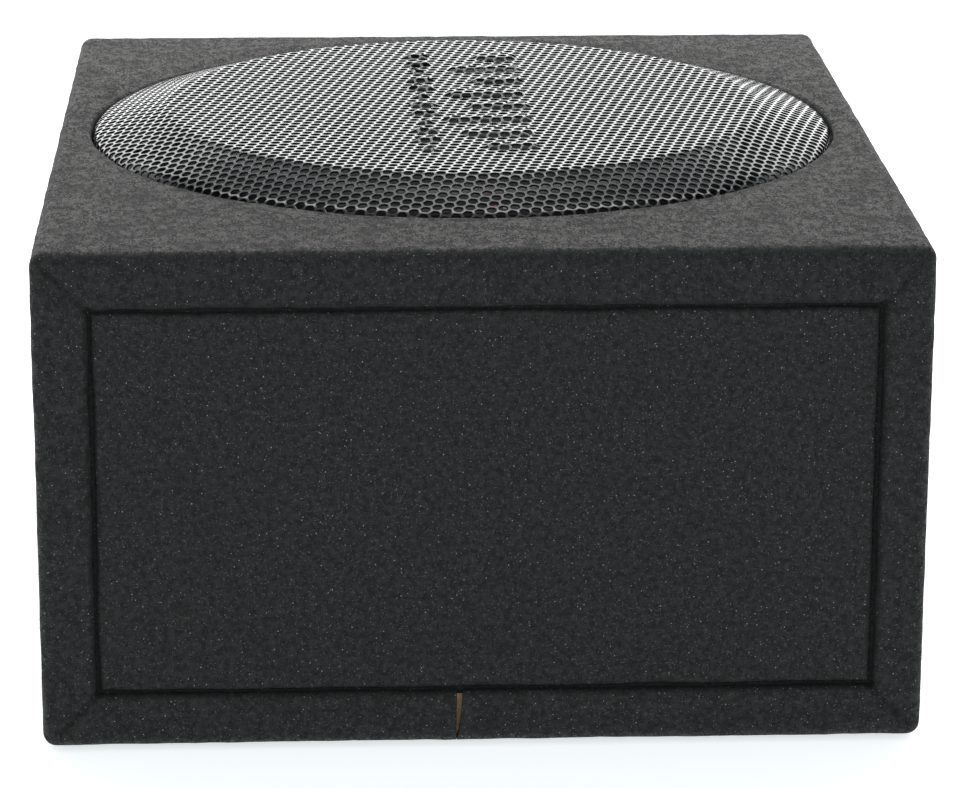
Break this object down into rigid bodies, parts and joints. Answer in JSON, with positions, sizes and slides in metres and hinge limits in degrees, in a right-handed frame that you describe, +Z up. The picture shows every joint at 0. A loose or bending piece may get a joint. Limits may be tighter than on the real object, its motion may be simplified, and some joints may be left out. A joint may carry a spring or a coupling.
{
  "type": "powered car subwoofer",
  "caption": "Carpeted box subwoofer for a car, with an upward-firing driver under a domed round grille and a built-in plate amplifier.",
  "frame": {"origin": "middle of the carpeted underside, on the floor", "axes": "+Z up along the driver's axis, -Y towards the plain end, +Y towards the amplifier panel, +X to the right of someone facing the plain end"},
  "size_m": [0.306, 0.3605, 0.1866],
  "materials": {
    "carpet": "needle-punched felt, charcoal grey",
    "fibreboard": "raw medium-density fibreboard",
    "grille_steel": "satin black paint on perforated sheet",
    "basket_steel": "satin black paint",
    "plated_steel": "zinc plated",
    "ferrite": "ground ferrite, matt dark grey",
    "rubber": "moulded, satin",
    "cone_paper": "pressed fibre pulp, black",
    "spider_cloth": "resin-dipped woven cloth",
    "copper": "bare copper",
    "black_plastic": "moulded, matt",
    "red_plastic": "moulded, matt",
    "panel_metal": "black powder coat on cast aluminium",
    "foam": "closed-cell foam",
    "circuit_board": "glass-fibre laminate, green solder mask",
    "nickel": "nickel plate",
    "black_steel": "black oxide",
    "fuse_plastic": "clear amber",
    "lens": "clear blue"
  },
  "bodies": {
    "enclosure": {"carpet_wrap": "carpet", "front_carpet": "carpet", "rear_carpet": "carpet", "top_panel": "fibreboard", "bottom_panel": "fibreboard", "left_panel": "fibreboard", "right_panel": "fibreboard", "front_panel": "fibreboard", "rear_panel": "fibreboard", "grille_mesh": "grille_steel", "grille_ring": "black_plastic", "driver_basket": "basket_steel", "top_plate": "plated_steel", "yoke": "plated_steel", "magnet": "ferrite", "surround": "rubber", "spider": "spider_cloth", "trim_gasket": "foam", "amp_seal": "foam", "terminal_strip": "black_plastic", "terminal_positive": "red_plastic", "terminal_negative": "black_plastic", "tinsel_lead_positive": "copper", "tinsel_lead_negative": "copper", "speaker_wire_positive": "red_plastic", "speaker_wire_negative": "black_plastic", "amp_panel": "panel_metal", "amp_board": "circuit_board", "control_board": "circuit_board", "rca_block": "black_plastic", "rca_sleeve_left": "nickel", "rca_sleeve_right": "nickel", "high_level_socket": "black_plastic", "power_terminal_block": "black_plastic", "fuse_holder": "black_plastic", "power_led": "lens", "driver_screw_1": "black_steel", "driver_screw_2": "black_steel", "driver_screw_3": "black_steel", "driver_screw_4": "black_steel", "driver_screw_5": "black_steel", "driver_screw_6": "black_steel", "driver_screw_7": "black_steel", "driver_screw_8": "black_steel", "terminal_screw_1": "nickel", "terminal_screw_2": "nickel", "terminal_screw_3": "nickel", "amp_screw_1": "black_steel", "amp_screw_2": "black_steel", "amp_screw_3": "black_steel", "amp_screw_4": "black_steel"},
    "cone_assembly": {"cone": "cone_paper", "dust_cap": "cone_paper", "voice_coil": "copper"},
    "gain": {"gain_knob": "black_plastic"},
    "lowpass": {"lowpass_knob": "black_plastic"},
    "bass_boost": {"bass_boost_knob": "black_plastic"},
    "auto_on": {"auto_on_switch": "black_plastic"},
    "phase": {"phase_switch": "black_plastic"},
    "fuse_body": {"fuse": "fuse_plastic"}
  },
  "joints": [
    {"name": "cone_travel", "type": "slide", "parent": "enclosure", "child": "cone_assembly", "axis": [0, 0, 1], "range_m": [-0.007, 0.007], "stiffness_N_per_m": 4000, "deforming": ["surround", "spider", "tinsel_lead_positive", "tinsel_lead_negative"]},
    {"name": "gain_turn", "type": "hinge", "parent": "enclosure", "child": "gain", "pos_m": [-0.038, 0.176, 0.12225], "axis": [0, 1, 0], "range_deg": [-150, 150]},
    {"name": "lowpass_turn", "type": "hinge", "parent": "enclosure", "child": "lowpass", "pos_m": [-0.062, 0.176, 0.12225], "axis": [0, 1, 0], "range_deg": [-150, 150]},
    {"name": "bass_boost_turn", "type": "hinge", "parent": "enclosure", "child": "bass_boost", "pos_m": [-0.086, 0.176, 0.12225], "axis": [0, 1, 0], "range_deg": [-150, 150]},
    {"name": "auto_on_slide", "type": "slide", "parent": "enclosure", "child": "auto_on", "axis": [-1, 0, 0], "range_m": [0, 0.004]},
    {"name": "phase_slide", "type": "slide", "parent": "enclosure", "child": "phase", "axis": [-1, 0, 0], "range_m": [0, 0.004]},
    {"name": "fuse_pull", "type": "slide", "parent": "enclosure", "child": "fuse_body", "axis": [0, 1, 0], "range_m": [0, 0.018]}
  ]
}
